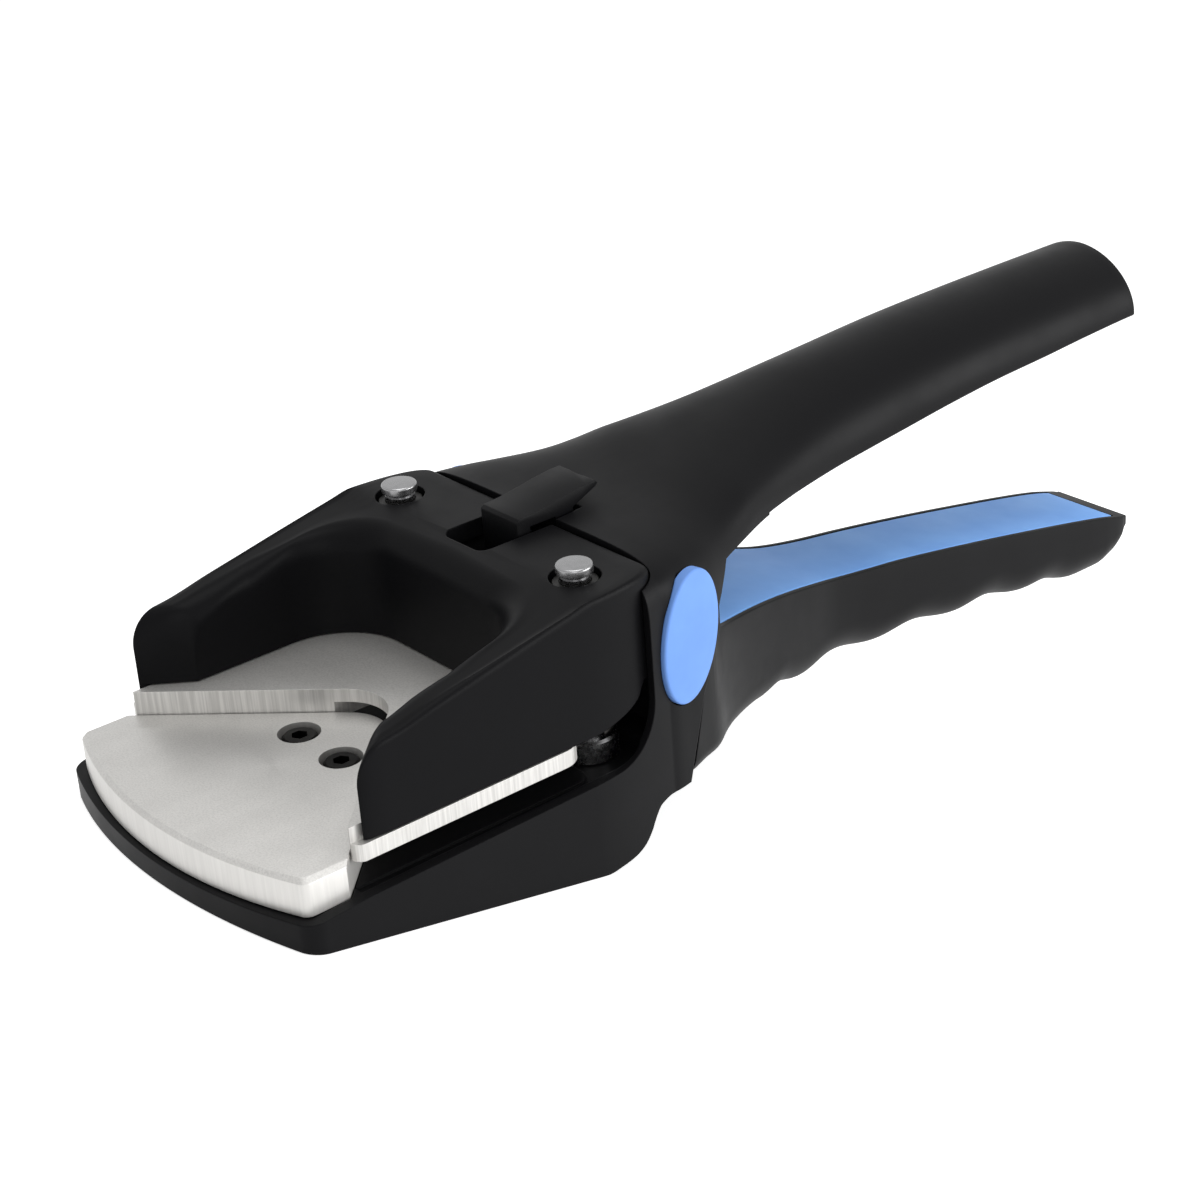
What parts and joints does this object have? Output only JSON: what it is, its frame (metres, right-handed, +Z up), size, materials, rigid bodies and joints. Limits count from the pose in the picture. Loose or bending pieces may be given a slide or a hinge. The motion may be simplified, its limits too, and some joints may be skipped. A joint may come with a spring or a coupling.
{
  "type": "corner rounder",
  "caption": "Hand-held corner rounder: upper handle with an anvil, a squeezed lower lever, and a notched cutting head that slides down guide posts.",
  "frame": {"origin": "middle of the footprint on the plane of the base's underside", "axes": "+X across the tool, +Y from the blades towards the handles, +Z up from the table"},
  "size_m": [0.0826, 0.2542, 0.1007],
  "materials": {
    "black_body_plastic": "satin",
    "black_grip_plastic": "satin",
    "black_head_plastic": "satin",
    "blackened_steel": "satin",
    "blue_plastic": "satin",
    "bright_steel": "polished",
    "cast_aluminium": "satin",
    "ground_steel": "brushed",
    "sintered_bronze": "satin",
    "spring_steel": "satin"
  },
  "bodies": {
    "frame": {"body_frame": "black_body_plastic", "base_cover": "black_head_plastic", "base_cover_screw_front_left": "blackened_steel", "base_cover_screw_front_right": "blackened_steel", "base_cover_screw_rear_left": "blackened_steel", "base_cover_screw_rear_right": "blackened_steel", "handle_plug": "black_grip_plastic", "anvil_plate": "ground_steel", "anvil_screw_left": "blackened_steel", "anvil_screw_right": "blackened_steel", "guide_post_left": "bright_steel", "guide_post_right": "bright_steel", "return_spring_left": "spring_steel", "return_spring_right": "spring_steel", "pivot_pin": "bright_steel", "pivot_cap_left": "blue_plastic", "pivot_cap_right": "blue_plastic", "latch_pin": "bright_steel"},
    "head": {"head_housing": "black_head_plastic", "cutter_plate": "ground_steel", "cutter_screw_front_left": "blackened_steel", "cutter_screw_front_right": "blackened_steel", "cutter_screw_rear_left": "blackened_steel", "cutter_screw_rear_right": "blackened_steel", "post_bush_left": "blackened_steel", "post_bush_right": "blackened_steel", "pressure_pad": "bright_steel"},
    "lever": {"lever_grip": "black_grip_plastic", "lever_inlay": "blue_plastic", "lever_core": "cast_aluminium", "pivot_bush_left": "sintered_bronze", "pivot_bush_right": "sintered_bronze", "nose_roller": "bright_steel", "nose_pin": "blackened_steel"},
    "latch_body": {"latch": "black_grip_plastic"}
  },
  "joints": [
    {"name": "lever_hinge", "type": "hinge", "parent": "frame", "child": "lever", "pos_m": [0, -0.03393, 0.04305], "axis": [1, 0, 0], "range_deg": [0, 17.5]},
    {"name": "head_slide", "type": "slide", "parent": "frame", "child": "head", "axis": [0, 0.1874, -0.9823], "range_m": [0, 0.0045], "stiffness_N_per_m": 1200, "springref_m": -0.004, "deforming": ["return_spring_left", "return_spring_right"]},
    {"name": "latch_hinge", "type": "hinge", "parent": "frame", "child": "latch_body", "pos_m": [0, -0.03959, 0.05617], "axis": [1, 0, 0], "range_deg": [0, 14]}
  ],
  "couplings": [
    {"joint": "head_slide", "follows": "lever_hinge", "m_per_rad": 0.014728}
  ]
}
